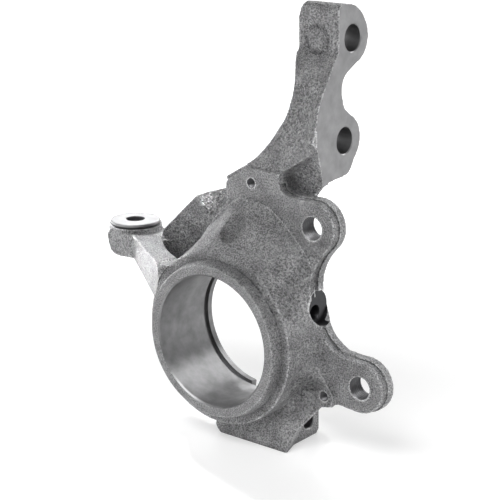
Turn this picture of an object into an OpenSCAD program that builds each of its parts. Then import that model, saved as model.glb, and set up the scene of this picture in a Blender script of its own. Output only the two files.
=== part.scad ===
// Front steering knuckle for a strut suspension, cast in one piece.
// The hub axis is the Y axis and the outboard face of the hub rim lies at Y = 0.
// +X is the brake caliper side, +Y is inboard and +Z is up.

/* [Hub] */
// Diameter of the wheel bearing bore
bearing_d = 72; // [66:0.5:76]
// Length of the hub barrel along the hub axis
hub_len = 45; // [44:0.5:50]
// Outer diameter of the outboard rim
rim_d = 84; // [82:0.5:88]
// Height of the rim above the shoulder behind it
rim_h = 6.5; // [4:0.5:9]
// Outer diameter of the shoulder behind the rim
shoulder_d = 95.4; // [92:0.2:98]
// Outer diameter of the barrel behind the flange
barrel_d = 96; // [92:0.5:97]
// Distance from the outboard face to the retaining ring groove
ring_groove_y = 37.3; // [34:0.1:38]
// Width of the retaining ring groove
ring_groove_w = 3.6; // [2:0.1:4]
// Depth of the retaining ring groove in the bore wall
ring_groove_depth = 2; // [1:0.1:2.5]
// Opening in the rear lip of the bore, in degrees
lip_gap = 34; // [20:1:50]
// Chamfer at the mouth of the bore
mouth_chamfer = 0.6; // [0.3:0.1:1.5]

/* [Flange and caliper ears] */
// Distance from the outboard rim face to the flange face
flange_y = 28; // [25:0.5:31]
// Thickness of the flange and the ears
flange_t = 10; // [8:0.5:13]
// Radius on which the caliper bolts lie
caliper_r = 78.6; // [76:0.2:82]
// Angle of the upper caliper bolt above the X axis
caliper_upper_a = 54.2; // [50:0.5:58]
// Angle of the lower caliper bolt above the X axis
caliper_lower_a = -11.9; // [-16:0.5:-8]
// Radius of the ears round the caliper bolts
ear_r = 14.6; // [12:0.2:16]
// Core diameter of the tapped caliper holes
caliper_hole_d = 12.1; // [10:0.1:14]
// Core diameter of the tapped dust shield holes
shield_hole_d = 5; // [4:0.1:6.5]
// Depth of the tapped dust shield holes
shield_hole_depth = 13; // [8:0.5:18]
// Height of the raised pad round the lower dust shield hole
shield_pad_h = 2; // [1:0.25:3]
// Step between the two halves of the flange edge
edge_step = 0.8; // [0.5:0.1:1.6]

/* [Speed sensor seat] */
// Diameter of the spot face for the wheel speed sensor
sensor_seat_d = 18.5; // [14:0.5:20]
// Diameter of the sensor hole
sensor_hole_d = 8; // [6:0.5:10]
// Height of the sensor axis above the hub axis
sensor_z = 20; // [16:0.5:26]
// Height of the sensor hole above the hub axis
sensor_hole_z = 17; // [15:0.5:24]
// Distance of the sensor axis from the outboard rim face
sensor_y = 33.5; // [28:0.5:36]
// Depth of the sensor seat, as its distance from the hub axis
sensor_x = 45; // [44:0.5:48]

/* [Strut arm] */
// Diameter of the two strut bolt holes
strut_hole_d = 14; // [12:0.1:16]
// Distance between the strut bolts
strut_pitch = 52.8; // [50:0.5:56]
// Lean of the strut bolt line towards the inboard side, in degrees
strut_lean = 6.5; // [3:0.5:9]
// Thickness of the strut lug along X
strut_t = 25.5; // [22:0.5:28]
// Distance of the machined strut face from the hub axis
strut_face_x = 46.5; // [44:0.5:49]
// Distance of the lower strut bolt from the outboard rim face
strut_low_y = 55.5; // [53:0.5:59]
// Height of the lower strut bolt above the hub axis
strut_low_z = 105; // [102:0.5:110]
// Radius of the lobes round the strut bolts
strut_lobe_r = 13.6; // [12:0.2:15]

/* [Tie rod arm] */
// Position of the tie rod eye along X
tie_x = -94; // [-100:0.5:-90]
// Distance of the tie rod eye from the outboard rim face
tie_y = 45; // [42:0.5:50]
// Height of the tie rod eye seat above the hub axis
tie_z = 42; // [40:0.5:45]
// Diameter of the tie rod eye seat
tie_seat_d = 28.6; // [24:0.2:30]
// Small end diameter of the taper in the eye
tie_hole_d = 10.2; // [9:0.1:12]
// Growth of the taper diameter per millimetre of depth
tie_taper = 0.1; // [0.05:0.01:0.16]

/* [Ball joint clamp] */
// Distance of the clamp's flat underside below the hub axis
clamp_z = 58.5; // [57:0.5:62]
// Diameter of the ball joint pin bore
pin_d = 19; // [16:0.5:20]
// Distance of the pin axis from the outboard rim face
pin_y = 30; // [28:0.5:32]
// Distance of the pin axis from the hub axis along X
pin_x = 14; // [10:0.5:18]
// Depth of the pin bore
pin_depth = 18; // [14:0.5:19]
// Diameter of the pinch bolt hole
pinch_d = 9; // [8.5:0.1:10.5]
// Width of the clamp slot
slot_w = 3.5; // [2.5:0.25:5]

/* [Hidden] */

$fn = 96;
bore_r = bearing_d / 2;
caliper_upper = caliper_r * [cos(caliper_upper_a), sin(caliper_upper_a)];
caliper_lower = caliper_r * [cos(caliper_lower_a), sin(caliper_lower_a)];
shield_upper = [6.1, 81.8];
shield_lower = caliper_lower + [-21.3, -9.2];
strut_low = [strut_low_y, strut_low_z];
strut_high = strut_low + strut_pitch * [sin(strut_lean), cos(strut_lean)];
lug_setback = 6.3;
strut_front_y = strut_low_y - lug_setback;
strut_back_x = strut_face_x - strut_t;
web_y = flange_y + 2.6;
sensor_hole_y = sensor_y - 1.5;
waist_x = sensor_x + 1;
tie_wall_x = -41.4;
eps = 0.05;

// Points along an arc from angle a0 to angle a1
function arc(c, r, a0, a1, n = 14) =
    [for (i = [0 : n]) let (a = a0 + (a1 - a0) * i / n) c + r * [cos(a), sin(a)]];

// Points along a cubic curve from a to d, pulled towards b and c
function curve(a, b, c, d, n = 10) =
    [for (i = [0 : n]) let (t = i / n, u = 1 - t)
        u * u * u * a + 3 * u * u * t * b + 3 * u * t * t * c + t * t * t * d];

// Smooth open curve through the given points
function smooth(p, n = 4) = let (m = len(p) - 1)
    [for (i = [0 : m - 1]) for (k = [0 : (i == m - 1 ? n : n - 1)])
        let (f = k / n, a = p[max(i - 1, 0)], b = p[i], c = p[i + 1], d = p[min(i + 2, m)])
        0.5 * (2 * b + (c - a) * f + (2 * a - 5 * b + 4 * c - d) * f * f
            + (3 * b - a - 3 * c + d) * f * f * f)];

// Value at angle t of a smooth closed curve through evenly spaced control values
function ring_value(list, t) =
    let (n = len(list), x = t / 360 * n, i = floor(x), f = x - i,
         p0 = list[(i - 1 + n) % n], p1 = list[i % n],
         p2 = list[(i + 1) % n], p3 = list[(i + 2) % n])
    0.5 * (2 * p1 + (p2 - p0) * f + (2 * p0 - 5 * p1 + 4 * p2 - p3) * f * f
        + (3 * p1 - p0 - 3 * p2 + p3) * f * f * f);

// An outline in the XZ plane, as thick as y1 - y0 along Y
module along_y(y0, y1) {
    translate([0, y1, 0]) rotate([90, 0, 0]) linear_extrude(y1 - y0) children();
}

// An outline in the YZ plane, as thick as x1 - x0 along X
module along_x(x0, x1) {
    translate([x0, 0, 0]) rotate([90, 0, 90]) linear_extrude(x1 - x0) children();
}

// A solid through a list of outlines with the same number of points.
// Seen from the first outline towards the last, each one runs clockwise
module loft(rings) {
    n = len(rings[0]);
    last = len(rings) - 1;
    sides = [for (k = [0 : last - 1]) for (i = [0 : n - 1])
        let (a = k * n + i, b = k * n + (i + 1) % n)
        each [[b, a, a + n], [b, a + n, b + n]]];
    polyhedron([for (ring = rings) each ring],
        concat([[for (i = [0 : n - 1]) i]], sides, [[for (i = [n - 1 : -1 : 0]) last * n + i]]),
        convexity = 6);
}

// A revolved profile of radius and distance, turned onto the hub axis
module about_hub() {
    rotate([-90, 0, 0]) rotate_extrude($fn = 180) children();
}

// The outer shell of the hub body: a loft that flares from the round shoulder to the flange.
// Reach of the flare from the hub axis, every 15 degrees from the X axis upwards
flare_r = [54, 52.6, 55, 63.6, 67.2, 72.3, 72.5, 62.5, 54.8, 51, 49.4, 48.8,
    48.6, 48.5, 48.5, 48.5, 48.8, 49.2, 49.4, 49.0, 48.6, 49.4, 53.5, 57];
flare_steps = [0, 0.05, 0.12, 0.22, 0.34, 0.46, 0.58, 0.7, 0.82, 0.92, 1];

// The flare is a straight cone at the top and hollow at the lower right
function flare_power(t) = 1.05 + 1.1 * max(0, cos(t + 22));
function flare_radius(t, s) =
    shoulder_d / 2 + (ring_value(flare_r, t) - shoulder_d / 2) * pow(s, flare_power(t));

module hub_body() {
    steps = 96;
    rings = len(flare_steps) + 1;
    end_y = flange_y + 3;
    end_inset = 5;
    y_list = concat([for (s = flare_steps) rim_h + (flange_y - rim_h) * s], [end_y]);
    points = [for (k = [0 : rings - 1]) for (i = [0 : steps - 1])
        let (t = 360 * i / steps,
             r = k < rings - 1 ? flare_radius(t, flare_steps[k]) : flare_radius(t, 1) - end_inset)
        [r * cos(t), y_list[k], r * sin(t)]];
    sides = [for (k = [0 : rings - 2]) for (i = [0 : steps - 1])
        let (a = k * steps + i, b = k * steps + (i + 1) % steps)
        each [[a, b, b + steps], [a, b + steps, a + steps]]];
    front = [for (i = [steps - 1 : -1 : 0]) i];
    back = [for (i = [0 : steps - 1]) (rings - 1) * steps + i];
    polyhedron(points, concat([front], sides, [back]), convexity = 6);
    // plain barrel behind the flange
    about_hub() polygon([[bore_r - 4, flange_y - 4], [barrel_d / 2, flange_y - 4],
        [barrel_d / 2, hub_len - 1.5], [barrel_d / 2 - 1.5, hub_len], [bore_r - 4, hub_len]]);
}

// The raised rim at the outboard end of the barrel
module hub_rim() {
    about_hub() polygon([
        [bore_r - 4, 0], [rim_d / 2 - 0.8, 0], [rim_d / 2, 0.8],
        [rim_d / 2 + 1.2, rim_h + 1], [bore_r - 4, rim_h + 1]]);
}

// Everything that is turned out of the barrel
module hub_bore_cut() {
    about_hub() polygon([
        [0, -1], [bore_r + mouth_chamfer + 1, -1], [bore_r, mouth_chamfer],
        [bore_r, ring_groove_y],
        [bore_r + ring_groove_depth, ring_groove_y],
        [bore_r + ring_groove_depth, ring_groove_y + ring_groove_w],
        [bore_r, ring_groove_y + ring_groove_w],
        [bore_r, hub_len - mouth_chamfer], [bore_r + mouth_chamfer, hub_len],
        [bore_r + mouth_chamfer, hub_len + 20], [0, hub_len + 20]]);
}

// The gap in the rear lip, from the groove to the end of the barrel
module lip_gap_cut() {
    gap_start = -97;
    along_y(ring_groove_y + 0.4, hub_len + 6)
        polygon(concat(arc([0, 0], bore_r - 6, gap_start, gap_start + lip_gap),
            arc([0, 0], bore_r + 5, gap_start + lip_gap, gap_start)));
}

// Outline of the flange with its hump and the two caliper ears
module flange_outline() {
    up = caliper_upper;
    low = caliper_lower;
    polygon(concat(
        [[-20, 60], [-10.5, 71], [-12.4, 75], [-12, 80.7], [-8.2, 83.5], [-1.3, 87.4],
         [1.5, 90.3], [24.6, 90.3], [25.4, 88.6]],
        curve([25.4, 84], [25.6, 80], [29, up[1] + ear_r], up + [-9, ear_r], 8),
        arc(up, ear_r, 90, -42),
        // inward sweep past the sensor seat
        curve(up + ear_r * [cos(-46), sin(-46)], [waist_x + 1.5, 44], [waist_x - 2.5, 33],
            [waist_x + 3, 20], 12),
        curve([waist_x + 3.2, 19.2], [waist_x + 5.2, 10], low + [-23.9, 20.7],
            low + [-12.9, 15.2], 8),
        arc(low, ear_r, 96, -96),
        curve(low + [-6.9, -14.2], low + [-14.9, -12.4], low + [-19.9, -15.2],
            low + [-23.9, -16.5], 6),
        [[44, -38], [0, -40], [-30, 0]]));
}

// The flange plate: its front half is a little smaller, as the mould halves meet there
module flange() {
    mid = flange_y + flange_t / 2;
    along_y(flange_y, mid + eps) offset(delta = -edge_step) flange_outline();
    along_y(mid, flange_y + flange_t) flange_outline();
    // raised pad round the lower dust shield hole
    at = shield_lower;
    along_y(flange_y - shield_pad_h, flange_y + eps)
        polygon([at + [-11.6, -11.6], at + [-2.6, -6.8], at + [5.4, -5], at + [6.1, 1.3],
            at + [1.5, 7.4], at + [-2.4, 13.7], at + [-11.6, 13.4]]);
}

// Side outline of the strut arm, as [distance from the rim face, height]
module strut_side() {
    lo = strut_low;
    hi = strut_high;
    front = strut_front_y;
    face_z = hi[1] - 6.7;
    polygon(concat(
        arc([front + 5, hi[1] + 13.2], 5, 95, 180, 5),
        // the neck adds its own front below the lug
        [[front, face_z - 0.5], [front + 1.3, face_z - 2.5], lo + [-5, 20], lo + [-5, -12],
            lo + [-24.9, -12.5]],
        smooth([lo + [-24.9, -24.4], lo + [-21.5, -21.9], lo + [-14.5, -19.8], lo + [-4, -19.1],
            lo + [4, -17.4], lo + strut_lobe_r * [cos(-50), sin(-50)]]),
        arc(lo, strut_lobe_r, -44, 50),
        // waist between the two bolts
        smooth([lo + strut_lobe_r * [cos(54), sin(54)], lo + [-0.1, 16.7], lo + [-2.2, 21.6],
            hi + [-9.1, -25.3], hi + [-6.5, -18.7], hi + strut_lobe_r * [cos(-74), sin(-74)]]),
        arc(hi, strut_lobe_r, -68, 30),
        smooth([hi + strut_lobe_r * [cos(36), sin(36)], hi + [7.7, 12.4], hi + [1.6, 16.6],
            hi + [-5, 17.8]])));
}

// Neck below the upper lug. Beside the machined face its front ends in a nose, and towards
// the far side it falls back to a plain hollow that runs out on top of the flange
module strut_neck() {
    front = strut_front_y;
    face_z = strut_high[1] - 6.7;
    lo = strut_low;
    start = [front + 0.1, face_z + 0.4];
    nose = smooth([start, [front - 1, face_z - 1.5], [front - 4, face_z - 4.8],
        [front - 7.7, face_z - 11.2], lo + [-19.6, 26.8], lo + [-23.8, 18.8], lo + [-25, 13],
        lo + [-27, 7.6], lo + [-30.1, 3.7], lo + [-25.6, 0.3], lo + [-23.4, -2.3],
        lo + [-23.4, -14]], 3);
    hollow = smooth([start, [front - 1, face_z - 1.5], [front - 3.8, face_z - 4.8],
        [front - 7.2, face_z - 11.2], lo + [-16.3, 26.8], lo + [-17.9, 18.8], lo + [-18.9, 13],
        lo + [-20.1, 7.6], lo + [-21.3, 3], lo + [-22.6, -1], lo + [-24.1, -6],
        lo + [-26.7, -14]], 3);
    rear = strut_low_y - 3;
    ends = [[rear, lo[1] - 14], [rear, start[1]]];
    // each section is [distance from the hub axis, share of the hollow in it]
    sections = [[-28, 1], [strut_face_x - 13.5, 1], [strut_face_x - 9.5, 0.84],
        [strut_face_x - 5.5, 0.5], [strut_face_x - 2.5, 0.18], [strut_face_x + 2, 0]];
    last = len(nose) - 1;
    loft([for (part = sections) [for (i = [0 : last + 2])
        let (p = i > last ? ends[i - last - 1] : nose[i] + (hollow[i] - nose[i]) * part[1])
        [part[0], p[0], p[1]]]]);
}

// Front outline of the strut arm, as [distance from the hub axis, height]
module strut_front() {
    x1 = strut_face_x;
    x0 = strut_back_x;
    lo = strut_low[1];
    hi = strut_high[1];
    polygon(concat(
        [[x1, hi + 32], [x1, 70], [-12, 70]],
        smooth([[-13.1, 82.2], [-4.7, 87.3], [1.5, 90.9], [7.4, lo - 9.8],
            [x0 - 7.1, lo - 2], [x0 - 3.6, lo + 3.9], [x0 - 1.1, lo + 8.3], [x0 + 0.5, lo + 11],
            [x0 + 1.9, lo + 14.7], [x0 + 3.3, lo + 20.5], [x0 + 4.1, lo + 25],
            [x0 + 3.6, hi - 20.8], [x0 + 1.4, hi - 13.5], [x0 - 0.8, hi - 8.5]]),
        [[x0, hi - 5], [x0, hi + 10.5], [x0 + 1.6, hi + 16], [x0 + 5.5, hi + 32]]));
}

module strut_arm() {
    intersection() {
        union() {
            along_x(-30, strut_face_x + 4) strut_side();
            strut_neck();
        }
        along_y(20, 90) strut_front();
    }
    // lug of the lower strut bolt, as thick as the upper one
    along_x(strut_back_x, strut_face_x) intersection() {
        translate(strut_low) circle(r = strut_lobe_r);
        strut_side();
    }
    // thin web between the arm and the upper ear
    along_y(web_y, web_y + 10.4) polygon([[20, 74], [38, 74], [40.6, 78.3], [41.7, 79.8],
        [43.5, 82.1], [46.4, 84.7], [46.4, 96], [20, 96]]);
    // trunk that carries the arm down to the barrel behind the flange
    trunk_left = -12;
    trunk_right = 24;
    trunk_y = flange_y + 3;
    intersection() {
        along_x(trunk_left, trunk_right)
            polygon([[trunk_y, 96], [trunk_y, 36], [hub_len - 1, 36], [hub_len + 4, 70], [54, 86.5],
                [50, 96]]);
        along_y(20, 70)
            polygon([[trunk_right, 96], [trunk_right, 78], [30, 36], [-28, 36], [trunk_left, 82.5],
                [2, 90]]);
    }
}

// The recess between the arm and the upper ear: its floor is the front face of the web
module web_recess_cut() {
    rim = [[25.3, 70], [25.3, 91.2], [34.2, 97.5], [39.5, 101.2], [47, 105], [60, 105], [60, 70]];
    bed = [[25.7, 70], [25.7, 85], [31.5, 90.9], [39.5, 98.3], [47, 104.3], [60, 104.3], [60, 70]];
    // the floor leans forwards as it climbs
    lean = 0.258;
    function floor_y(z) = web_y + 10.1 - (z - 70) * lean;
    loft([[for (p = rim) [p[0], web_y - 12.6, p[1]]], [for (p = rim) [p[0], web_y - 3.1, p[1]]],
        [for (p = bed) [p[0], floor_y(p[1]), p[1]]]]);
}

// Plan outline of the tie rod arm
module tie_plan() {
    front_y = rim_h - 0.5;
    polygon([[tie_x + 12, tie_y - 15], [tie_wall_x, front_y], [-20, front_y], [-20, tie_y + 1],
        [-56, tie_y + 3], [tie_x + 9, tie_y + 10.5], [tie_x, tie_y + 4], [tie_x, tie_y - 13]]);
}

// Front outline of the tie rod arm
module tie_front() {
    top = tie_z - 4.6;
    low = tie_z - 18.6;
    wall = tie_wall_x;
    polygon([[tie_x, top + 0.6], [tie_x + 12, top - 0.2], [-62, 35.2], [wall - 2.6, 34],
        [wall, 31.6], [wall, 30], [wall, 10.5], [-62, 17.2], [tie_x + 12, low + 0.2], [tie_x, low]]);
}

// Lug on the shoulder plane from which the tie rod arm starts
module tie_root() {
    along_y(rim_h - 0.5, flange_y + 8)
        polygon(concat([[-20, 34.4], [-30, 34.6]], arc([tie_wall_x + 3, 31], 3, 90, 180, 5),
            [[tie_wall_x, 10], [tie_wall_x + 3.4, 0], [-20, 0]]));
}

// Pocket in the top of the arm, between its outer wall and the gusset
module tie_pocket_cut() {
    mouth = [[-66.5, 37.5], [-57, 29.6], [-48, 24.2], [-42, 21.6], [-30, 21.6], [-30, 41.9],
        [-62, 41.9]];
    bed = [[-61, 38.5], [-55, 34], [-47, 29.5], [-41, 27.5], [-30, 27.5], [-30, 41.9], [-58, 41.9]];
    loft([[for (p = bed) [p[0], p[1], 25]], [for (p = mouth) [p[0], p[1], 34]],
        [for (p = mouth) [p[0], p[1], 60]]]);
}

module tie_arm() {
    difference() {
        union() {
            intersection() {
                linear_extrude(tie_z + 20) tie_plan();
                along_y(0, tie_y + 25) tie_front();
            }
            tie_root();
        }
        tie_pocket_cut();
    }
    tie_boss();
}

module tie_boss() {
    left = tie_x - 8.5;
    right = tie_x + 11.9;
    low = tie_z - 19;
    top = tie_z - 4.4;
    along_y(tie_y - 15, tie_y)
        polygon(concat([[left + 1.6, low + 4.4], [left + 2, low + 2.8], [left + 5, low + 0.6],
            [left + 9, low], [right, low + 0.6], [right, top - 0.5]],
            arc([left + 4, top - 3.4], 4, 86, 180, 5), [[left + 0.4, low + 6.5]]));
    translate([tie_x, tie_y, 0]) rotate_extrude() polygon([
        [0, low + 1], [11, low + 1], [12, low + 2], [12, tie_z - 5.6], [11.4, tie_z - 4.2],
        [12, tie_z - 3.2], [tie_seat_d / 2, tie_z - 2], [tie_seat_d / 2, tie_z - 0.3],
        [tie_seat_d / 2 - 0.3, tie_z], [0, tie_z]]);
}

// Tapered eye, wide at the underside
module tie_hole_cut() {
    depth = 24;
    translate([tie_x, tie_y, tie_z - depth]) cylinder(h = depth + 1,
        r1 = tie_hole_d / 2 + depth * tie_taper / 2, r2 = tie_hole_d / 2 - tie_taper / 2);
}

// Gusset between the tie rod arm and the upper body, with a broad bevel along its top
module gusset() {
    front_y = 42;
    top_y = 49;
    rear_y = 54;
    face = [[-70.2, 28], [-70.2, 39.9], [-44.5, 64.3], [-38.9, 58.6], [-35.4, 57], [-24.8, 59.6],
        [0, 62], [0, 30]];
    back = [[-70.2, 28], [-70.2, 39.9], [-44.5, 64.3], [-38, 66.4], [-31.5, 68.6], [-24, 71],
        [0, 79], [0, 30]];
    loft([[for (p = face) [p[0], front_y, p[1]]], [for (p = back) [p[0], top_y, p[1]]],
        [for (p = back) [p[0], rear_y, p[1]]]]);
}

// The block for the ball joint pin: outlines seen from below, from the foot upwards.
// Its right side has a flat seat for the pinch bolt behind a rib that climbs to the ear
function clamp_ring(z, left, front, edge, rib, seat, rear) = [[left, front, z], [edge, front, z],
    rib_point(rib, z), [seat[0], seat[1], z], [seat[0], rear - 2, z], [seat[0] - 2.5, rear, z],
    [left + 3, rear, z], [left, rear - 3, z]];
function rib_point(p, z) = [p[0], p[1], z];

module clamp_body() {
    low = -clamp_z;
    left = pin_x - 23.9;
    front = pin_y - 14.2;
    rear = pin_y + 20.8;
    seat = pin_x + 22;
    edge = pin_x + 25.2;
    loft([
        clamp_ring(low, left + 3.5, front - 0.8, edge - 0.8, [edge + 0.1, front + 0.2],
            [seat, rear - 24.5], rear - 2.3),
        clamp_ring(low + 2.2, left + 1.3, front - 0.8, edge - 0.4, [edge + 0.6, front + 0.6],
            [seat, rear - 23.4], rear),
        clamp_ring(low + 5, left, front - 0.8, edge, [edge + 1.2, front + 1], [seat, rear - 21], rear),
        clamp_ring(low + 5.3, left, front, edge, [edge + 1.2, front + 1.4], [seat, rear - 20.6], rear),
        clamp_ring(low + 8, left, front, edge, [edge + 1.8, front + 2.2], [seat, rear - 17.8], rear),
        clamp_ring(low + 11.9, left, front, edge - 0.6, [edge + 3.4, front + 4.2],
            [seat, rear - 12.6], rear),
        clamp_ring(low + 15.1, left, front, edge - 1.2, [edge + 5.8, front + 6.2],
            [seat, rear - 6], rear),
        clamp_ring(low + 15.5, left, front, edge - 1.2, [edge + 6.3, front + 6.4],
            [seat, rear - 11.8], rear - 6.8),
        clamp_ring(-38, left, front + 0.7, edge - 2.2, [49.4, 24.6], [42, 37], 42),
        clamp_ring(-32, left, front + 1.2, edge - 3.2, [54, 27.2], [48, 37], 42),
        clamp_ring(-24, left, front + 1.2, edge - 3.2, [54, 28.2], [48, 36], 41)]);
}

module clamp_cuts() {
    translate([pin_x, pin_y, -clamp_z - 1]) cylinder(h = pin_depth + 1, d = pin_d);
    // the pinch bolt hole clears the pin and comes out at both sides
    translate([pin_x - 36, pin_y + pin_d / 2 + 0.2, -clamp_z + 9.8])
        rotate([0, 90, 0]) cylinder(h = 66, d = pinch_d);
    translate([pin_x - slot_w / 2, pin_y, -clamp_z - 1]) cube([slot_w, 30, pin_depth + 1]);
}

// Round pad in a shallow ring groove, on the front of the upper strut lug
module pad_groove(r) {
    rotate([90, 0, 0]) rotate_extrude($fn = 48) translate([r, 0]) circle(r = 1.1, $fn = 16);
}

// Shallow round recess in the flare of the hub body
module flare_recess_cut() {
    at_y = 16.5;
    at_z = flare_radius(88, (at_y - rim_h) / (flange_y - rim_h));
    translate([2.6, at_y, at_z]) rotate([48, 0, 0])
        translate([0, 0, -1.6]) cylinder(h = 4, r1 = 7.2, r2 = 11.2, $fn = 64);
}

module hole_cuts() {
    for (p = [caliper_upper, caliper_lower])
        translate([p[0], flange_y + flange_t + 1, p[1]])
            rotate([90, 0, 0]) cylinder(h = flange_t + 2 + shield_pad_h, d = caliper_hole_d);
    for (p = [shield_upper, shield_lower])
        translate([p[0], flange_y + shield_hole_depth, p[1]])
            rotate([90, 0, 0]) cylinder(h = shield_hole_depth + 5, d = shield_hole_d);
    for (p = [strut_low, strut_high])
        translate([strut_back_x - 5, p[0], p[1]])
            rotate([0, 90, 0]) cylinder(h = strut_t + 10, d = strut_hole_d);
    // seat for the strut bracket round the lower bolt, on the far side
    translate([strut_back_x - 20, strut_low[0], strut_low[1]])
        rotate([0, 90, 0]) cylinder(h = 20, r = strut_lobe_r - 1.4);
}

// Seat and hole of the wheel speed sensor, in the right side of the body
module sensor_cut() {
    translate([sensor_x, sensor_y, sensor_z]) rotate([0, 90, 0]) cylinder(h = 20, d = sensor_seat_d);
    translate([bore_r - 12, sensor_hole_y, sensor_hole_z])
        rotate([0, 90, 0]) cylinder(h = 30, d = sensor_hole_d);
}

// Everything cast on behind and beside the hub barrel
module limbs() {
    difference() {
        union() {
            difference() {
                strut_arm();
                web_recess_cut();
            }
            tie_arm();
            gusset();
        }
        // keeps the limbs clear of the inside of the barrel
        about_hub() polygon([[0, -1], [barrel_d / 2 - 4, -1], [barrel_d / 2 - 4, 90], [0, 90]]);
    }
}

module knuckle() {
    color("dimgray") difference() {
        union() {
            hub_body();
            hub_rim();
            flange();
            limbs();
            clamp_body();
        }
        hub_bore_cut();
        lip_gap_cut();
        hole_cuts();
        tie_hole_cut();
        clamp_cuts();
        sensor_cut();
        flare_recess_cut();
        translate([strut_face_x - 13.5, strut_front_y, strut_high[1] - 0.5]) pad_groove(6.9);
    }
}

knuckle();
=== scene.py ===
import math
import bpy
import numpy as np
from mathutils import Matrix, Vector


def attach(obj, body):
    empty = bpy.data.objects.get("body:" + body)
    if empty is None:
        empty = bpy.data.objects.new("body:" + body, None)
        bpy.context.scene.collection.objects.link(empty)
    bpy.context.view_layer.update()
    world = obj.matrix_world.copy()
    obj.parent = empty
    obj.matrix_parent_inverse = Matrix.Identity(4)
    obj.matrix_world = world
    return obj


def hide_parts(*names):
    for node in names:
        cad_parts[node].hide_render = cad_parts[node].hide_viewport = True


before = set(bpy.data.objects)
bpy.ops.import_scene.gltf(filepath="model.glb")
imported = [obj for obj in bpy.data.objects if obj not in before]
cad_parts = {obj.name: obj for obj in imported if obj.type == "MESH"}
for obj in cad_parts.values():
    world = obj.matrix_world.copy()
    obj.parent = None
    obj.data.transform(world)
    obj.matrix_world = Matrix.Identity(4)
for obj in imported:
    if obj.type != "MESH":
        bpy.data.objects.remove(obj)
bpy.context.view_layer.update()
scene = bpy.context.scene
mm = 0.001
print("frame loaded")


# Helpers

def linearColour(hexColour, alpha=1.0):
    # an sRGB hex colour as linear red, green, blue and alpha
    parts = [int(hexColour[i:i + 2], 16) / 255 for i in (1, 3, 5)]
    return [p / 12.92 if p <= 0.04045 else ((p + 0.055) / 1.055) ** 2.4 for p in parts] + [alpha]


def meshFromArrays(name, points, corners, sizes):
    # a mesh from an array of points, the point of each face corner and the corners of each face
    mesh = bpy.data.meshes.new(name)
    mesh.vertices.add(len(points))
    mesh.vertices.foreach_set("co", np.asarray(points, np.float32).ravel())
    mesh.loops.add(len(corners))
    mesh.loops.foreach_set("vertex_index", np.asarray(corners, np.int32))
    mesh.polygons.add(len(sizes))
    starts = np.concatenate([[0], np.cumsum(sizes)[:-1]]).astype(np.int32)
    mesh.polygons.foreach_set("loop_start", starts)
    mesh.update(calc_edges=True)
    mesh.validate()
    return mesh


def addObject(name, mesh):
    thing = bpy.data.objects.new(name, mesh)
    scene.collection.objects.link(thing)
    return thing


def evaluatedMesh(thing):
    # the object's mesh with its modifiers worked in
    bpy.context.view_layer.update()
    return bpy.data.meshes.new_from_object(thing.evaluated_get(bpy.context.evaluated_depsgraph_get()))


# Surfaces of the tools that machine the casting. All sizes are in millimetres

rightAxis, hubAxis, upAxis = (1, 0, 0), (0, 1, 0), (0, 0, 1)


def axesFor(axis):
    axis = np.array(axis, float)
    side = np.array([0.0, 0.0, 1.0]) if abs(axis[2]) < 0.9 else np.array([1.0, 0.0, 0.0])
    side = side - axis * (side @ axis)
    side /= np.linalg.norm(side)
    return axis, side, np.cross(axis, side)


def gridFaces(rows, steps, wrapRows=False):
    # quads of a grid that closes on itself along the steps, and along the rows if asked
    i, j = np.meshgrid(np.arange(rows if wrapRows else rows - 1), np.arange(steps), indexing="ij")
    a = i * steps + j
    b = i * steps + (j + 1) % steps
    c = (i + 1) % rows * steps + (j + 1) % steps
    d = (i + 1) % rows * steps + j
    return np.stack([a, b, c, d], -1).reshape(-1, 4)


def spokes(side, up, steps):
    # directions across the axis at even angles
    angle = 2 * np.pi * np.arange(steps) / steps
    return np.cos(angle)[:, None] * side + np.sin(angle)[:, None] * up


def turned(origin, axis, distance, radius, steps=96):
    # A turned solid on a grid of distance and angle: each point is the origin, plus the distance
    # along the axis, plus the radius across it. The radius may change with the angle too
    axis, side, up = axesFor(axis)
    distance = np.asarray(distance, float)
    radius = np.asarray(radius, float)
    if radius.ndim == 1:
        radius = np.repeat(radius[:, None], steps, 1)
    rows, steps = radius.shape
    across = spokes(side, up, steps)
    points = np.array(origin) + distance[:, None, None] * axis + radius[:, :, None] * across
    ends = np.array(origin) + distance[[0, -1], None] * axis
    quads = gridFaces(rows, steps)
    j = np.arange(steps)
    nextOne = (j + 1) % steps
    last, middle = (rows - 1) * steps, rows * steps
    fans = np.concatenate([np.stack([nextOne, j, np.full(steps, middle)], -1),
                           np.stack([last + j, last + nextOne, np.full(steps, middle + 1)], -1)])
    points = np.concatenate([points.reshape(-1, 3), ends])
    return points, np.concatenate([quads.ravel(), fans.ravel()]), np.repeat([4, 3], [len(quads), len(fans)])


def turnedRing(origin, axis, distance, radius, steps=96):
    # A ring: a closed profile of distance and radius carried round the axis. A profile that runs the
    # wrong way is turned first, so that the faces look outwards
    distance, radius = np.asarray(distance, float), np.asarray(radius, float)
    if (distance * np.roll(radius, -1) - radius * np.roll(distance, -1)).sum() > 0:
        distance, radius = distance[::-1], radius[::-1]
    axis, side, up = axesFor(axis)
    across = spokes(side, up, steps)
    points = np.array(origin) + distance[:, None, None] * axis + radius[:, None, None] * across
    quads = gridFaces(len(distance), steps, wrapRows=True)
    return points.reshape(-1, 3), quads.ravel(), np.full(len(quads), 4)


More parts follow.
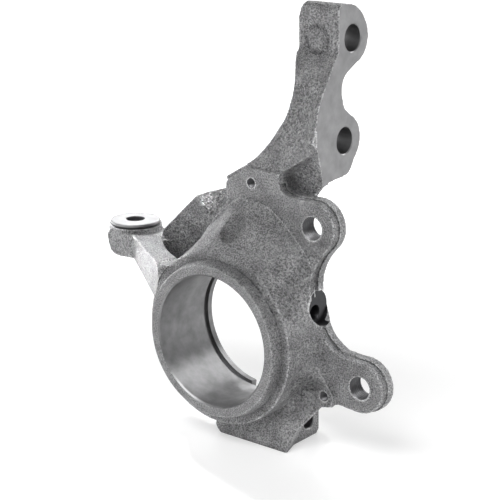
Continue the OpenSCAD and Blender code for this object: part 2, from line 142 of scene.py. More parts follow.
def prism(outline, across, up, origin, depth):
    # A straight prism: a convex outline in the plane of two directions, as deep as given along
    # their normal
    across, up = np.array(across, float), np.array(up, float)
    normal = np.cross(across, up)
    outline = np.asarray(outline, float)
    base = np.array(origin) + outline[:, :1] * across + outline[:, 1:] * up
    n = len(outline)
    points = np.concatenate([base, base + normal * depth])
    j = np.arange(n)
    sides = np.stack([j, (j + 1) % n, n + (j + 1) % n, n + j], -1)
    corners = np.concatenate([j[::-1], n + j, sides.ravel()])
    return points, corners, np.concatenate([[n, n], np.full(n, 4)])


def strip(inner, outer, low, high):
    # A curved strip along the hub axis: an inner and an outer line of as many points, carried from
    # the low to the high distance
    n = len(inner)
    ring = np.concatenate([inner, outer[::-1]])
    base = np.stack([ring[:, 0], np.full(2 * n, low), ring[:, 1]], 1)
    points = np.concatenate([base, base + [0, high - low, 0]])
    j = np.arange(2 * n)
    walls = np.stack([j, 2 * n + j, 2 * n + (j + 1) % (2 * n), (j + 1) % (2 * n)], -1)
    i = np.arange(n - 1)
    cap = np.stack([i, i + 1, 2 * n - 2 - i, 2 * n - 1 - i], -1)
    faces = np.concatenate([walls, cap, cap[:, ::-1] + 2 * n])
    # the faces are turned over where the lines run the other way round
    area = (ring[:, 0] * np.roll(ring[:, 1], -1) - ring[:, 1] * np.roll(ring[:, 0], -1)).sum()
    faces = faces[:, ::-1] if area < 0 else faces
    return points, faces.ravel(), np.full(len(faces), 4)


def arcPoints(centre, radius, start, end, count=20):
    angle = np.radians(np.linspace(start, end, count))
    return np.array(centre) + radius * np.stack([np.cos(angle), np.sin(angle)], 1)


def curvePoints(a, b, c, d, count=12):
    # a cubic curve: (1-t)^3 a + 3 (1-t)^2 t b + 3 (1-t) t^2 c + t^3 d
    t = np.linspace(0, 1, count)[:, None]
    a, b, c, d = (np.array(p, float) for p in (a, b, c, d))
    return (1 - t) ** 3 * a + 3 * (1 - t) ** 2 * t * b + 3 * (1 - t) * t ** 2 * c + t ** 3 * d


def threadTool(origin, length, lead, core, outer, pitch, steps, perPitch=8):
    # A tapping tool along the hub axis. Its radius is a rounded triangle wave that climbs one pitch
    # with each turn, between the core and the outer radius, and the thread fades out over 1.2 mm
    # before a plain lead at each end
    distance = np.linspace(0, length, int(length / pitch * perPitch) + 1)
    phase = (distance[:, None] / pitch - np.arange(steps) / steps) % 1
    wave = np.clip(1.25 - np.abs(phase - 0.5) * 3.4, 0, 1)
    radius = core + (outer - core) * wave
    fromEnd = np.minimum(distance, length - distance)
    ends = np.clip((fromEnd - lead) / 1.2, 0, 1)[:, None]
    return turned(origin, hubAxis, distance, core + 0.15 + (radius - core) * ends)


def joined(parts):
    # several surfaces as one set of arrays
    points, corners, sizes, start = [], [], [], 0
    for p, c, s in parts:
        points.append(p)
        corners.append(c + start)
        sizes.append(s)
        start += len(p)
    return np.concatenate(points), np.concatenate(corners), np.concatenate(sizes)


# The knuckle, in millimetres. Places are x, y and z, and those of holes are the two across their axis

knuckle = dict(
    # the blank: the spacing of its skin, the rounds that fill inner corners, the rounds that soften
    # outer ones with their two steps, the metal left on for machining, and the share of triangles kept
    voxel=0.62, filletRounds=2, softRounds=1, softStep=0.6, softBack=0.45, stock=0.9, trianglesKept=0.5,
    sharpAngle=38,
    # seam where the flare meets the flange: the angles it runs between and the fade at each end
    beadHeight=1.1, beadWidth=0.8, beadAngles=(12, 128), beadFades=(18, 12),
    flareRadius=(54, 52.6, 55, 63.6, 67.2, 72.3, 72.5, 62.5, 54.8, 51, 49.4, 48.8,
                 48.6, 48.5, 48.5, 48.5, 48.8, 49.2, 49.4, 49.0, 48.6, 49.4, 53.5, 57),
    # dent between the flare and the pad of the lower dust shield hole
    dentPlace=(46.5, 25, -20.5), dentReach=6, dentDepth=1.6,
    # hub: bearing bore, retaining ring groove and the gap in the rear lip
    boreRadius=36, hubLength=45, mouth=0.8, rearChamfer=0.8,
    grooveStart=37.3, grooveWidth=3.6, grooveDepth=2,
    lipAngles=(-97, -63), lipRadii=(30, 41), lipFrom=37.7, lipTo=51,
    # rim: the distances and radii of the ring that is turned off round it
    rimDistance=(-1, 0, 0.7, 6.5, 6.5, -1), rimRadius=(41.3, 41.3, 42, 43.2, 48.2, 48.2),
    # flange and ears
    flangeFront=28, flangeMiddle=33, edgeStep=0.9, earRadius=14.6,
    caliper=((45.98, 63.75), (76.911, -16.207)), caliperCore=6.05, caliperOuter=7.0, caliperPitch=1.5,
    shield=((6.1, 81.8), (55.611, -25.407)), shieldFront=(28, 26), shieldRear=41,
    shieldCore=2.5, shieldOuter=2.95, shieldPitch=1,
    # round recess in the flare, and the ring groove on the strut lug: half its depth and half its width
    recess=(2.6, 16.5, 58.71), recessTilt=48, recessFoot=7.2, recessMouth=11.2,
    padPlace=(33, 49.2, 156.96), padRadius=6.9, padDeep=0.8, padWide=1.0,
    # strut arm
    strutFace=46.5, strutBack=21, strutLow=(55.5, 105), strutHigh=(61.477, 157.461), strutHole=7,
    strutSeat=12.2, strutRegion=[(30, 83), (90, 83), (90, 190), (30, 190)],
    # tie rod eye, with the radii of its taper from below to its chamfer
    tie=(-94, 45, 42), tieSeat=14.3, tieNotch=20, taper=(6.4, 5.13, 5.9, 5.9),
    # ball joint clamp: pin bore, pinch bolt hole and slot
    pin=(14, 30), pinRadius=9.5, pinDepth=18, foot=-58.5,
    pinch=(39.7, -48.7), pinchRadius=4.5, pinchMouth=5.3, slotHalf=1.75,
    # speed sensor
    sensor=(45, 33.5, 20), sensorHole=(32, 17), sensorRadius=4, sensorSeat=9.25)


def plugs(k):
    # solids that fill the holes and seats of the finished shape again, each a little wider than its hole
    parts = [turned((0, 0, 0), hubAxis, [0, k["hubLength"]], [41.4, 41.4])]
    for y, z in (k["strutLow"], k["strutHigh"]):
        parts.append(turned((k["strutBack"], y, z), rightAxis, [0, 25.5], [8.5, 8.5]))
    for x, z in k["caliper"]:
        parts.append(turned((x, 28, z), hubAxis, [0, 10], [8, 8]))
    for x, z in k["shield"]:
        parts.append(turned((x, 28, z), hubAxis, [0, 10], [4, 4]))
    x, y, z = k["tie"]
    parts.append(turned((x, y, 23.6), upAxis, [0, 14], [8, 8]))
    parts.append(turned((x, y, 36), upAxis, [0, z + k["stock"] - 36], [15.4, 15.4]))
    px, py = k["pin"]
    parts.append(turned((px, py, k["foot"]), upAxis, [0, 20], [11, 11]))
    parts.append(prism([(-3, 0), (3, 0), (3, 20.6), (-3, 20.6)], rightAxis, hubAxis,
                       (px, py, k["foot"]), 20))
    parts.append(turned((-9.7, *k["pinch"]), rightAxis, [0, 45.6], [6, 6]))
    x, y, z = k["sensor"]
    parts.append(turned((38, y, z), rightAxis, [0, x - 35.6], [9.1, 9.1]))
    return parts


# The blank: the knuckle as it leaves the mould, before any hole or seat is machined

def castingBlank(k):
    # joins the finished shape and the plugs, then skins the whole with one even mesh
    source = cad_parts["knuckle"].data
    points = np.empty(len(source.vertices) * 3, np.float32)
    source.vertices.foreach_get("co", points)
    source.calc_loop_triangles()
    triangles = np.empty(len(source.loop_triangles) * 3, np.int32)
    source.loop_triangles.foreach_get("vertices", triangles)
    # points at the same place, to a thousandth of a millimetre, become one
    grid = np.round(points.reshape(-1, 3).astype(float) / 1e-6).astype(np.int64)
    unique, first, back = np.unique(grid, axis=0, return_index=True, return_inverse=True)
    triangles = back.ravel()[triangles].reshape(-1, 3)
    # triangles that lost a corner by it are left out
    a, b, c = triangles.T
    triangles = triangles[(a != b) & (b != c) & (a != c)]
    shape = (points.reshape(-1, 3)[first] / mm, triangles.ravel(), np.full(len(triangles), 3))
    points, corners, sizes = joined([shape] + plugs(k))
    blank = addObject("blank", meshFromArrays("blank", points * mm, corners, sizes))
    skin = blank.modifiers.new("skin", "REMESH")
    skin.mode = "VOXEL"
    skin.voxel_size = k["voxel"] * mm
    skin.adaptivity = 0
    mesh = evaluatedMesh(blank)
    bpy.data.objects.remove(blank)
    return mesh


def meshArrays(mesh):
    points = np.empty(len(mesh.vertices) * 3, np.float32)
    mesh.vertices.foreach_get("co", points)
    edges = np.empty(len(mesh.edges) * 2, np.int32)
    mesh.edges.foreach_get("vertices", edges)
    corners = np.empty(len(mesh.loops), np.int32)
    mesh.loops.foreach_get("vertex_index", corners)
    return points.reshape(-1, 3).astype(float), edges.reshape(-1, 2), corners.reshape(-1, 4)


def scatter(index, values, count):
    # sums the rows of values that share an index
    return np.stack([np.bincount(index, values[:, i], count) for i in range(values.shape[1])], 1)


def neighbourMean(points, edges):
    count = len(points)
    a, b = edges[:, 0], edges[:, 1]
    total = scatter(a, points[b], count) + scatter(b, points[a], count)
    return total / np.bincount(edges.ravel(), minlength=count)[:, None]


def pointNormals(points, quads):
    a, b, c, d = (points[quads[:, i]] for i in range(4))
    face = np.cross(c - a, d - b)
    total = sum(scatter(quads[:, i], face, len(points)) for i in range(4))
    return total / np.maximum(np.linalg.norm(total, axis=1, keepdims=True), 1e-12)


def castSkin(points, edges, quads, k):
    # Inner corners fill like a fillet, because each point may only move outwards to the mean of its
    # neighbours. Then a step towards that mean and a lesser one back take the edge off outer corners
    for i in range(k["filletRounds"]):
        normal = pointNormals(points, quads)
        along = ((neighbourMean(points, edges) - points) * normal).sum(1)
        points = points + normal * np.maximum(along, 0)[:, None]
    for i in range(k["softRounds"]):
        points = points + k["softStep"] * (neighbourMean(points, edges) - points)
        points = points - k["softBack"] * (neighbourMean(points, edges) - points)
    return points


def addBead(points, quads, k):
    # A low seam along the upper edge of the flare: points move out by the height times
    # exp(-(distance / width)^2), with the distance from the curve radius(angle) on the flange's front.
    # The dent is made the same way, with the distance from its place
    normal = pointNormals(points, quads)
    x, y, z = (points / mm).T
    angle = np.degrees(np.arctan2(z, x)) % 360
    radius = np.interp(angle, np.arange(25) * 15, k["flareRadius"] + k["flareRadius"][:1])
    distance = np.hypot(np.hypot(x, z) - radius, y - k["flangeFront"])
    (start, end), (fadeIn, fadeOut) = k["beadAngles"], k["beadFades"]
    fade = np.clip((angle - start) / fadeIn, 0, 1) * np.clip((end - angle) / fadeOut, 0, 1)
    lift = k["beadHeight"] * np.exp(-(distance / k["beadWidth"]) ** 2) * fade
    away = np.linalg.norm(points / mm - np.array(k["dentPlace"]), axis=1)
    dent = k["dentDepth"] * np.exp(-(away / k["dentReach"]) ** 2)
    return points + normal * ((lift - dent) * mm)[:, None]


def leaveStock(points, quads, k):
    # metal for machining on the rim and the strut face: points on those flats move out. That of the
    # tie rod seat is in its plug
    normal = pointNormals(points, quads)
    x, y, z = (points / mm).T
    flats = [
        ((0, -1, 0), np.abs(y) < 0.7, np.hypot(x, z) < 43),
        (rightAxis, np.abs(x - k["strutFace"]) < 0.7, z > 83)]
    for axis, near, region in flats:
        facing = np.clip((normal @ np.array(axis) - 0.55) / 0.3, 0, 1)
        points = points + (near & region)[:, None] * facing[:, None] * np.array(axis) * k["stock"] * mm
    return points


startMesh = castingBlank(knuckle)
skinPoints, skinEdges, skinQuads = meshArrays(startMesh)
print("blank skinned:", len(skinQuads), "faces")
skinPoints = castSkin(skinPoints, skinEdges, skinQuads, knuckle)
skinPoints = addBead(skinPoints, skinQuads, knuckle)
skinPoints = leaveStock(skinPoints, skinQuads, knuckle)
startMesh.vertices.foreach_set("co", skinPoints.astype(np.float32).ravel())
startMesh.update()
print("corners filled")


# The machining: every bore, hole and seat is cut into the blank by a tool of its true size, which
# reaches a little past the surface that it enters

def flangeEdge(k):
    # outline of the flange from its hump round both ears, and the outward direction at each point
    up, low = np.array(k["caliper"])
    r, waist = k["earRadius"], k["sensor"][0] + 1
    fromUp = math.radians(-46)
    line = np.concatenate([
        curvePoints([25.4, 84], [25.6, 80], [29, up[1] + r], up + [-9, r], 9)[:-1],
        arcPoints(up, r, 90, -42, 26)[:-1],
        curvePoints(up + r * np.array([math.cos(fromUp), math.sin(fromUp)]),
                    [waist + 1.5, 44], [waist - 2.5, 33], [waist + 3, 20], 14)[:-1],
        curvePoints([waist + 3.2, 19.2], [waist + 5.2, 10],
                    low + [-23.9, 20.7], low + [-12.9, 15.2], 10)[:-1],
        arcPoints(low, r, 96, -96, 34)])
    along = np.gradient(line, axis=0)
    outward = np.stack([-along[:, 1], along[:, 0]], 1)
    return line, outward / np.linalg.norm(outward, axis=1, keepdims=True)


def cutters(k):
    # the tools in the order of their cuts, each with its name and the finish that it leaves
    tools = []

    def cut(name, finish, arrays):
        tools.append((name, finish, arrays))

    # bearing bore with its mouth, ring groove and rear chamfer
    r, start, mouth, end = k["boreRadius"], k["grooveStart"], k["mouth"], k["hubLength"]
    stop, deep, chamfer = start + k["grooveWidth"], r + k["grooveDepth"], k["rearChamfer"]
    cut("bore", "bored", turned((0, 0, 0), hubAxis,
        [-2, 0, mouth, start, start + 0.02, stop - 0.02, stop, end - chamfer, end, end + 5],
        [r + mouth, r + mouth, r, r, deep, deep, r, r, r + chamfer, r + chamfer], 160))
    inner, outer = (arcPoints((0, 0), radius, *k["lipAngles"], 12) for radius in k["lipRadii"])
    cut("lipGap", "machined", strip(inner, outer, k["lipFrom"], k["lipTo"]))
    cut("rimFacing", "blasted", turned((0, 0, 0), hubAxis, [-4, 0], [52, 52]))
    cut("rimTurning", "cast", turnedRing((0, 0, 0), hubAxis, k["rimDistance"], k["rimRadius"], 160))
    # the flange's front half is smaller than its rear half, as the mould halves met there
    line, outward = flangeEdge(k)
    cut("flangeStep", "cast", strip(line - outward * k["edgeStep"], line + outward * 1.3,
        k["flangeFront"] - 1.5, k["flangeMiddle"]))
    # the shallow round recess in the flare
    tilt, foot = math.radians(k["recessTilt"]), k["recessFoot"]
    cut("flareRecess", "cast", turned(k["recess"], (0, -math.sin(tilt), math.cos(tilt)),
        [-1.75, -1.5, -1.1, 2.4], [foot - 0.5, foot, foot + 0.5, k["recessMouth"]]))
    # strut face and the two bolt holes
    cut("strutFacing", "machined", prism(k["strutRegion"], hubAxis, upAxis, (k["strutFace"], 0, 0), 5))
    for i, (y, z) in enumerate((k["strutLow"], k["strutHigh"])):
        h, a, b = k["strutHole"], k["strutBack"], k["strutFace"]
        cut(f"strutHole{i}", "machined", turned((0, y, z), rightAxis,
            [a - 5, a - 0.6, a + 0.4, b - 0.5, b + 0.5, b + 4], [h + 1, h + 1, h, h, h + 1, h + 1]))
    y, z = k["strutLow"]
    cut("strutSeat", "machined", turned((0, y, z), rightAxis,
        [k["strutBack"] - 18, k["strutBack"]], [k["strutSeat"]] * 2))
    # tapped holes of the caliper ears and the dust shield
    for i, (x, z) in enumerate(k["caliper"]):
        cut(f"caliperHole{i}", "drilled", threadTool((x, 26, z), 14, 2.3,
            k["caliperCore"], k["caliperOuter"], k["caliperPitch"], 64))
    for i, ((x, z), front) in enumerate(zip(k["shield"], k["shieldFront"])):
        cut(f"shieldHole{i}", "drilled", threadTool((x, front - 2, z), k["shieldRear"] + 2 - front, 2,
            k["shieldCore"], k["shieldOuter"], k["shieldPitch"], 32))
    # tie rod eye: the seat disc with its neck, and the tapered hole
    x, y, z = k["tie"]
    s, notch = k["tieSeat"], k["tieNotch"]
    cut("tieNeck", "machined", turnedRing((x, y, 0), upAxis,
        [z - 2.6, z - 2.5, z - 1.9, z - 1.5, z - 0.3, z, z],
        [notch, s - 1.1, s - 0.8, s, s, s - 0.3, notch]))
    cut("tieFacing", "machined", turned((x, y, z), upAxis, [0, 4], [20.5, 20.5]))
    # the tapered hole is drawn dark: painted shade inside it
    cut("tieHole", "darkWithPaintedShade", turned((x, y, z), upAxis, [-26, -0.6, 0.6, 3], k["taper"], 64))
    # ball joint clamp: pin bore, pinch bolt hole and slot
    px, py = k["pin"]
    f, r, m, w = k["foot"], k["pinRadius"], k["pinchMouth"], k["slotHalf"]
    cut("pinBore", "machined", turned((px, py, f), upAxis, [-3, -0.4, 0.8, k["pinDepth"]], [r + 1, r + 1, r, r]))
    cut("pinchHole", "machined", turned((0, *k["pinch"]), rightAxis,
        [-22, 35.4, 36.4, 46], [k["pinchRadius"], k["pinchRadius"], m, m], 64))
    cut("slot", "machined", prism([(-w, 0), (w, 0), (w, 30), (-w, 30)],
        rightAxis, hubAxis, (px, py, f - 1), 19))
    # speed sensor: spot face and hole, both drawn dark with painted shade
    h = k["sensorRadius"]
    cut("sensorSeat", "darkWithPaintedShade", turned(k["sensor"], rightAxis, [0, 20], [k["sensorSeat"]] * 2))
    cut("sensorHole", "darkWithPaintedShade", turned((k["sensor"][0], *k["sensorHole"]), rightAxis,
        [-20, -0.5, 0.4, 2], [h, h, h + 0.7, h + 0.7], 64))
    # ring groove round the pad on the strut lug, of an oval section
    turn = np.linspace(0, 2 * np.pi, 14, endpoint=False)
    cut("padGroove", "cast", turnedRing(k["padPlace"], (0, -1, 0),
        k["padDeep"] * np.sin(turn), k["padRadius"] + k["padWide"] * np.cos(turn), 72))
    return tools


# Materials

def addNode(tree, kind, inputs=None, links=None, **settings):
    # one node with its own settings, the values of its sockets and the sockets that feed it
    node = tree.nodes.new(kind)
    for name, value in settings.items():
        setattr(node, name, value)
    for name, value in (inputs or {}).items():
        node.inputs[name].default_value = value
    for name, source in (links or {}).items():
        tree.links.new(source, node.inputs[name])
    return node


def newMaterial(name):
    material = bpy.data.materials.new(name)
    material.use_nodes = True
    material.node_tree.nodes.clear()
    return material, material.node_tree


def mapped(tree, value, start, end, **settings):
    # carries a value from the start range to the end range
    values = dict(zip(("From Min", "From Max", "To Min", "To Max"), (*start, *end)))
    return addNode(tree, "ShaderNodeMapRange", values, {"Value": value}, **settings).outputs["Result"]


def noise(tree, place, size, detail, roughness=0.5, distortion=0.0):
    # noise with forms of about the size in millimetres
    values = {"Scale": 1 / (size * mm), "Detail": detail, "Roughness": roughness, "Distortion": distortion}
    return addNode(tree, "ShaderNodeTexNoise", values, {"Vector": place}).outputs["Fac"]


def toneRamp(tree, value, stops):
    # a colour ramp with stops of position and hex colour
    node = addNode(tree, "ShaderNodeValToRGB", links={"Fac": value})
    for element, (position, colour) in zip(node.color_ramp.elements, stops):
        element.position = position
        element.color = linearColour(colour)
    return node.outputs["Color"]


def larger(tree, a, b):
    return addNode(tree, "ShaderNodeMath", links={0: a, 1: b}, operation="MAXIMUM").outputs[0]


def blended(tree, share, **ends):
    # between two numbers or sockets, by a share from 0 to 1
    sockets = {"low": 2, "high": 3}
    numbers = {sockets[name]: end for name, end in ends.items() if isinstance(end, float)}
    links = {sockets[name]: end for name, end in ends.items() if not isinstance(end, float)}
    return addNode(tree, "ShaderNodeMix", numbers, {0: share, **links}, data_type="FLOAT").outputs[0]


def finishMetal(material, tree, colour, roughness, bump):
    shader = addNode(tree, "ShaderNodeBsdfPrincipled", {"Metallic": 1.0}, {
        "Base Color": colour, "Roughness": roughness, "Normal": bump.outputs["Normal"]})
    addNode(tree, "ShaderNodeOutputMaterial", links={"Surface": shader.outputs["BSDF"]})
    return material


def roughPatches(tree, place, spots):
    # where the sand was coarser: 1 at the middle of each spot, falling to 0 at its radius in millimetres
    level = None
    for x, y, z, radius in spots:
        away = addNode(tree, "ShaderNodeVectorMath", {1: (x * mm, y * mm, z * mm)}, {0: place},
                       operation="DISTANCE")
        spot = mapped(tree, away.outputs["Value"], (radius * 0.35 * mm, radius * mm), (1.0, 0.0),
                      interpolation_type="SMOOTHSTEP")
        level = larger(tree, level, spot) if level else spot
    return level


def castIron(name, look):
    # Sand-cast nodular iron after shot blasting: a dull grey metal, coarse and pitted, which scatters
    # light softly. Its edges are painted brighter, partly wear and partly painted highlight; its pits and
    # creases are painted darker, partly dark skin and partly painted shade, and its peaks paler as painted
    # glints
    material, tree = newMaterial(name)
    place = addNode(tree, "ShaderNodeTexCoord").outputs["Object"]
    coarse = roughPatches(tree, place, look["coarseSpots"])
    patches = noise(tree, place, look["patches"], 3, 0.6)
    # near an outer edge a short ray into the metal comes out again, so edges are where this is below 1
    within = addNode(tree, "ShaderNodeAmbientOcclusion", {"Distance": look["edgeReach"] * mm},
                     samples=look["rays"], inside=True)
    # a ray that meets metal within the reach darkens the tone: dark skin and painted shade in inner corners,
    # creases and recesses
    crease = addNode(tree, "ShaderNodeAmbientOcclusion", {"Distance": look["creaseReach"] * mm},
                     samples=look["rays"])
    fine = noise(tree, place, look["grain"], 2, 0.6)
    worms = noise(tree, place, look["worms"], 2, 0.5, 0.8)
    height = blended(tree, coarse, low=fine, high=worms)
    # the tint is the tone of the patches times the share of each of the others
    tint = toneRamp(tree, patches, look["tone"])
    for share in (
            # edges painted brighter: partly wear, partly painted highlight
            mapped(tree, within.outputs["AO"], look["edgeRange"], (look["edgeWearAndHighlight"], 1.0)),
            mapped(tree, coarse, (0, 1), (1.0, look["coarseTone"])),
            mapped(tree, crease.outputs["AO"], look["creaseRange"], (look["creaseSkinAndShade"], 1.0)),
            # pits darker, partly dark skin and partly painted shade; peaks paler, painted glints
            mapped(tree, height, look["pitRange"], (1 - look["pitShadeAndPeakGlint"], 1 + look["pitShadeAndPeakGlint"]))):
        product = addNode(tree, "ShaderNodeVectorMath", links={0: tint, 1: share}, operation="MULTIPLY")
        tint = product.outputs[0]
    depth = mapped(tree, coarse, (0, 1), (look["depth"][0] * mm, look["depth"][1] * mm))
    bump = addNode(tree, "ShaderNodeBump", {"Strength": 1.0}, {"Height": height, "Distance": depth})
    rough = mapped(tree, patches, (0.3, 0.7), look["roughness"])
    return finishMetal(material, tree, tint, rough, bump)


def machinedIron(name, dark, pale, look):
    # Turned and milled iron: smooth and brighter than the cast skin, with fine tool marks
    material, tree = newMaterial(name)
    place = addNode(tree, "ShaderNodeTexCoord").outputs["Object"]
    clouds = noise(tree, place, look["clouds"], 4, 0.55)
    tint = toneRamp(tree, clouds, [(0.3, dark), (0.7, pale)])
    marks = noise(tree, place, look["marks"], 2)
    bump = addNode(tree, "ShaderNodeBump",
                   {"Strength": look["markStrength"], "Distance": look["markDepth"] * mm}, {"Height": marks})
    rough = mapped(tree, clouds, (0, 1), look["roughness"])
    return finishMetal(material, tree, tint, rough, bump)


castLook = dict(
    # Size in millimetres of the sand grains, of the marks where the sand was coarser and of the tone's
    # patches. Real grains are about 0.3 mm and their relief about 0.1 mm deep, too fine to show in the
    # picture, so both are drawn coarser. The depth is given for fine and for coarse sand
    grain=0.8, worms=1.15, patches=9, depth=(4, 9),
    tone=[(0.3, "#8a8a8b"), (0.7, "#acacad")], roughness=(0.4, 0.5),
    # how much darker and paler than the tone the pits and peaks are: dark skin and painted shade in the pits,
    # painted glints on the peaks
    pitShadeAndPeakGlint=0.5, pitRange=(0.36, 0.64),
    # wear and painted highlight on outer edges, and dark skin and painted shade in inner corners, creases and
    # recesses: their reach in millimetres and their tone
    rays=6, edgeReach=1.2, edgeWearAndHighlight=2.1, edgeRange=(0.55, 0.92),
    creaseReach=9, creaseSkinAndShade=0.22, creaseRange=(0.25, 0.8),
    # where the sand was coarser: strut arm, flare, web, gusset and lower body, each with its radius
    coarseTone=1.1, coarseSpots=[
        (33, 34, 122, 34), (46, 18, 36, 34), (38, 34, 85, 17), (-33, 45, 62, 16), (40, 22, -20, 22)])
# the rim's face was machined and then blasted, so its grain is even, its edges get less wear and painted
# highlight and its corners less dark skin and painted shade
blastedLook = dict(
    castLook, grain=0.75, depth=(3.5, 3.5), pitShadeAndPeakGlint=0.45, tone=[(0.3, "#868687"), (0.7, "#a2a2a3")],
    edgeWearAndHighlight=1.9, creaseSkinAndShade=0.8, coarseTone=1.0)
# Size in millimetres of the cloudy tone and of the tool marks, with their depth. Real marks are about
# 0.2 mm apart, too fine to show in the picture, so they are drawn coarser
machinedLook = dict(clouds=7, marks=0.6, markDepth=0.1, markStrength=0.12, roughness=(0.34, 0.48))
finishes = {
    "cast": castIron("sandCastIronSkin", castLook),
    # milled faces and reamed holes
    "machined": machinedIron("machinedIron", "#8c8c8d", "#a0a0a1", machinedLook),
    "blasted": castIron("blastedIronFace", blastedLook),
    # the bearing bore, drawn darker than the other machined faces
    "bored": machinedIron("boredIron", "#767677", "#949495", machinedLook),
    # tapped holes, drawn darker than the other machined faces
    "drilled": machinedIron("drilledIron", "#5e5e60", "#7a7a7c", machinedLook),
    # seats and holes drawn dark: painted shade inside them
    "darkWithPaintedShade": machinedIron("paintedShadeSeatIron", "#3c3c3e", "#4c4c4e", machinedLook)}
finishOrder = list(finishes)


def machine(mesh, k):
    # cuts with one tool after the other. The cut faces take the tool's finish
    body = addObject("knuckleCasting", mesh)
    for finish in finishOrder:
        mesh.materials.append(finishes[finish])
    for name, finish, (points, corners, sizes) in cutters(k):
        tool = addObject(name, meshFromArrays(name, points * mm, corners, sizes))
        for other in finishOrder:
            tool.data.materials.append(finishes[other])
        slots = np.full(len(tool.data.polygons), finishOrder.index(finish), np.int32)
        tool.data.polygons.foreach_set("material_index", slots)
        cut = body.modifiers.new(name, "BOOLEAN")
        cut.operation = "DIFFERENCE"
        cut.solver = "MANIFOLD"
        cut.object = tool
        result = evaluatedMesh(body)
        body.modifiers.remove(cut)
        body.data = result
        bpy.data.objects.remove(tool)
    return body


casting = machine(startMesh, knuckle)
thin = casting.modifiers.new("thin", "DECIMATE")
thin.ratio = knuckle["trianglesKept"]
mesh = evaluatedMesh(casting)
casting.modifiers.clear()
casting.data = mesh
mesh.polygons.foreach_set("use_smooth", np.ones(len(mesh.polygons), bool))
mesh.set_sharp_from_angle(angle=math.radians(knuckle["sharpAngle"]))
print("casting machined:", len(mesh.polygons), "faces, triangles", len(mesh.loops) - 2 * len(mesh.polygons))
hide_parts("knuckle")
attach(casting, "root")


# Studio: the camera of the photograph, a pale floor, soft lamps and a white background

middle = (0, 0.03, 0.03)
studio = dict(
    # camera in degrees and millimetres
    azimuth=39.0, elevation=16.58, roll=-0.39, lens=108, sensor=36,
    distance=792.07, shiftX=21.27, shiftY=48.56, nearest=20,
    # floor: its height in millimetres, its half width in metres, its glow near the object, lower as a painted
    # shadow round it, and far from it between two distances in metres, and its glow in reflections
    floorHeight=-58.5, floorSize=4.0, floorGlowInPaintedShadow=0.46, floorFar=0.85, paintedShadowSpread=(0.12, 0.6), floorInMetal=0.45,
    # room: its plain light, and the white behind the object that its metal reflects
    worldLight=0.2, whiteTowards=(-0.62, 0.78, 0.0), dimAt=0.7, whiteAt=0.95, dimRoom=0.35, whiteRoom=1.0,
    # soft boxes: place, target, width and height in metres, power in watts
    softboxes=dict(
        frontSoftbox=((0.1, -0.7, 1.0), middle, 0.8, 0.5, 11.5),
        leftFrontSoftbox=((-0.9, -0.8, 0.3), middle, 0.8, 0.5, 3),
        backSoftbox=((0.1, 1.1, 0.7), middle, 0.9, 0.4, 6),
        backRightStrip=((0.85, 0.85, 0.14), middle, 0.9, 0.36, 0.5),
        rightStrip=((1.2, 0.1, 0.14), middle, 0.9, 0.36, 4.5),
        armStrip=((-0.5, 0.12, 0.0), (-0.08, 0.04, 0.0), 0.45, 0.1, 0.75)),
    # soft-edged lamp on the tie rod arm: place, target, angle in degrees, power, size and softness
    armSpot=((-0.36, 0.18, 0.40), (-0.068, 0.038, 0.035), 7, 58, 0.04, 0.6))


def placeCamera(s):
    a, e, r = (math.radians(s[n]) for n in ("azimuth", "elevation", "roll"))
    right = Vector((math.cos(a), math.sin(a), 0))
    forward = Vector((-math.sin(a) * math.cos(e), math.cos(a) * math.cos(e), -math.sin(e)))
    up = right.cross(forward)
    side = right * math.cos(r) + up * math.sin(r)
    top = up * math.cos(r) - right * math.sin(r)
    place = (side * s["shiftX"] + top * s["shiftY"] - forward * s["distance"]) * mm
    camera = bpy.data.objects.new("camera", bpy.data.cameras.new("camera"))
    camera.data.lens = s["lens"]
    camera.data.sensor_width = s["sensor"]
    camera.data.clip_start = s["nearest"] * mm
    turn = Matrix((side, top, -forward)).transposed().to_4x4()
    camera.matrix_world = Matrix.Translation(place) @ turn
    scene.collection.objects.link(camera)
    scene.camera = camera


def addLamp(name, kind, place, target, power):
    lamp = bpy.data.objects.new(name, bpy.data.lights.new(name, kind))
    lamp.data.energy = power
    aim = Vector(place) - Vector(target)
    lamp.matrix_world = Matrix.Translation(Vector(place)) @ aim.to_track_quat("Z", "Y").to_matrix().to_4x4()
    lamp.visible_camera = False
    scene.collection.objects.link(lamp)
    return lamp.data


def hangLamps(s):
    for name, (place, target, width, height, power) in s["softboxes"].items():
        light = addLamp(name, "AREA", place, target, power)
        light.shape = "RECTANGLE"
        light.size, light.size_y = width, height
    place, target, angle, power, size, softness = s["armSpot"]
    light = addLamp("armSpot", "SPOT", place, target, power)
    light.shadow_soft_size = size
    light.spot_size = math.radians(angle)
    light.spot_blend = softness


def reflectedRay(tree, path):
    # 1 where a ray comes from a reflection
    return larger(tree, path.outputs["Is Glossy Ray"], path.outputs["Is Transmission Ray"])


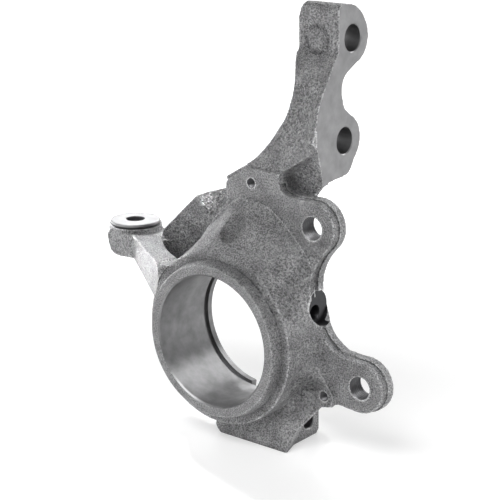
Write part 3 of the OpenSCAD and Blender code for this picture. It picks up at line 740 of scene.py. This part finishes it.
def lightWorld(s):
    # White for the eye. In reflections it is white behind the object and dimmer overhead and in front,
    # as round a bench lit from behind, and the rest gets plain soft light
    world = bpy.data.worlds.new("studio")
    scene.world = world
    world.use_nodes = True
    tree = world.node_tree
    tree.nodes.clear()
    path = addNode(tree, "ShaderNodeLightPath")
    heading = addNode(tree, "ShaderNodeTexCoord").outputs["Generated"]
    behind = addNode(tree, "ShaderNodeVectorMath", {1: s["whiteTowards"]}, {0: heading},
                     operation="DOT_PRODUCT")
    room = mapped(tree, behind.outputs["Value"], (s["dimAt"], s["whiteAt"]), (s["dimRoom"], s["whiteRoom"]),
                  interpolation_type="SMOOTHSTEP")
    level = blended(tree, reflectedRay(tree, path), low=s["worldLight"], high=room)
    level = larger(tree, level, path.outputs["Is Camera Ray"])
    light = addNode(tree, "ShaderNodeBackground", {"Color": (1, 1, 1, 1)}, {"Strength": level})
    addNode(tree, "ShaderNodeOutputWorld", links={"Surface": light.outputs[0]})


def layFloor(s):
    # a smooth pale floor: white to the eye away from the object; near it the glow is lower, a painted shadow
    # round the object, and it also holds the cast shadow
    size, z = s["floorSize"], s["floorHeight"] * mm
    corners = np.array([(-size, -size, z), (size, -size, z), (size, size, z), (-size, size, z)])
    floor = addObject("floor", meshFromArrays("floor", corners, np.arange(4), np.array([4])))
    material, tree = newMaterial("paleFloor")
    path = addNode(tree, "ShaderNodeLightPath")
    metal = addNode(tree, "ShaderNodeMath", {1: s["floorInMetal"]}, {0: reflectedRay(tree, path)},
                    operation="MULTIPLY")
    place = addNode(tree, "ShaderNodeTexCoord").outputs["Object"]
    away = addNode(tree, "ShaderNodeVectorMath", links={0: place}, operation="LENGTH")
    # the glow for the eye rises with the distance from the object: a painted shadow round it
    white = mapped(tree, away.outputs["Value"], s["paintedShadowSpread"], (s["floorGlowInPaintedShadow"], s["floorFar"]),
                   interpolation_type="SMOOTHSTEP")
    glow = addNode(tree, "ShaderNodeMath", operation="MULTIPLY_ADD",
                   links={0: path.outputs["Is Camera Ray"], 1: white, 2: metal.outputs[0]})
    shader = addNode(tree, "ShaderNodeBsdfPrincipled", {
        "Base Color": linearColour("#c4c4c4"), "Roughness": 0.28, "Emission Color": (1, 1, 1, 1)},
        {"Emission Strength": glow.outputs[0]})
    addNode(tree, "ShaderNodeOutputMaterial", links={"Surface": shader.outputs["BSDF"]})
    floor.data.materials.append(material)


placeCamera(studio)
lightWorld(studio)
layFloor(studio)
hangLamps(studio)
scene.view_settings.view_transform = "Standard"
print("studio lit")
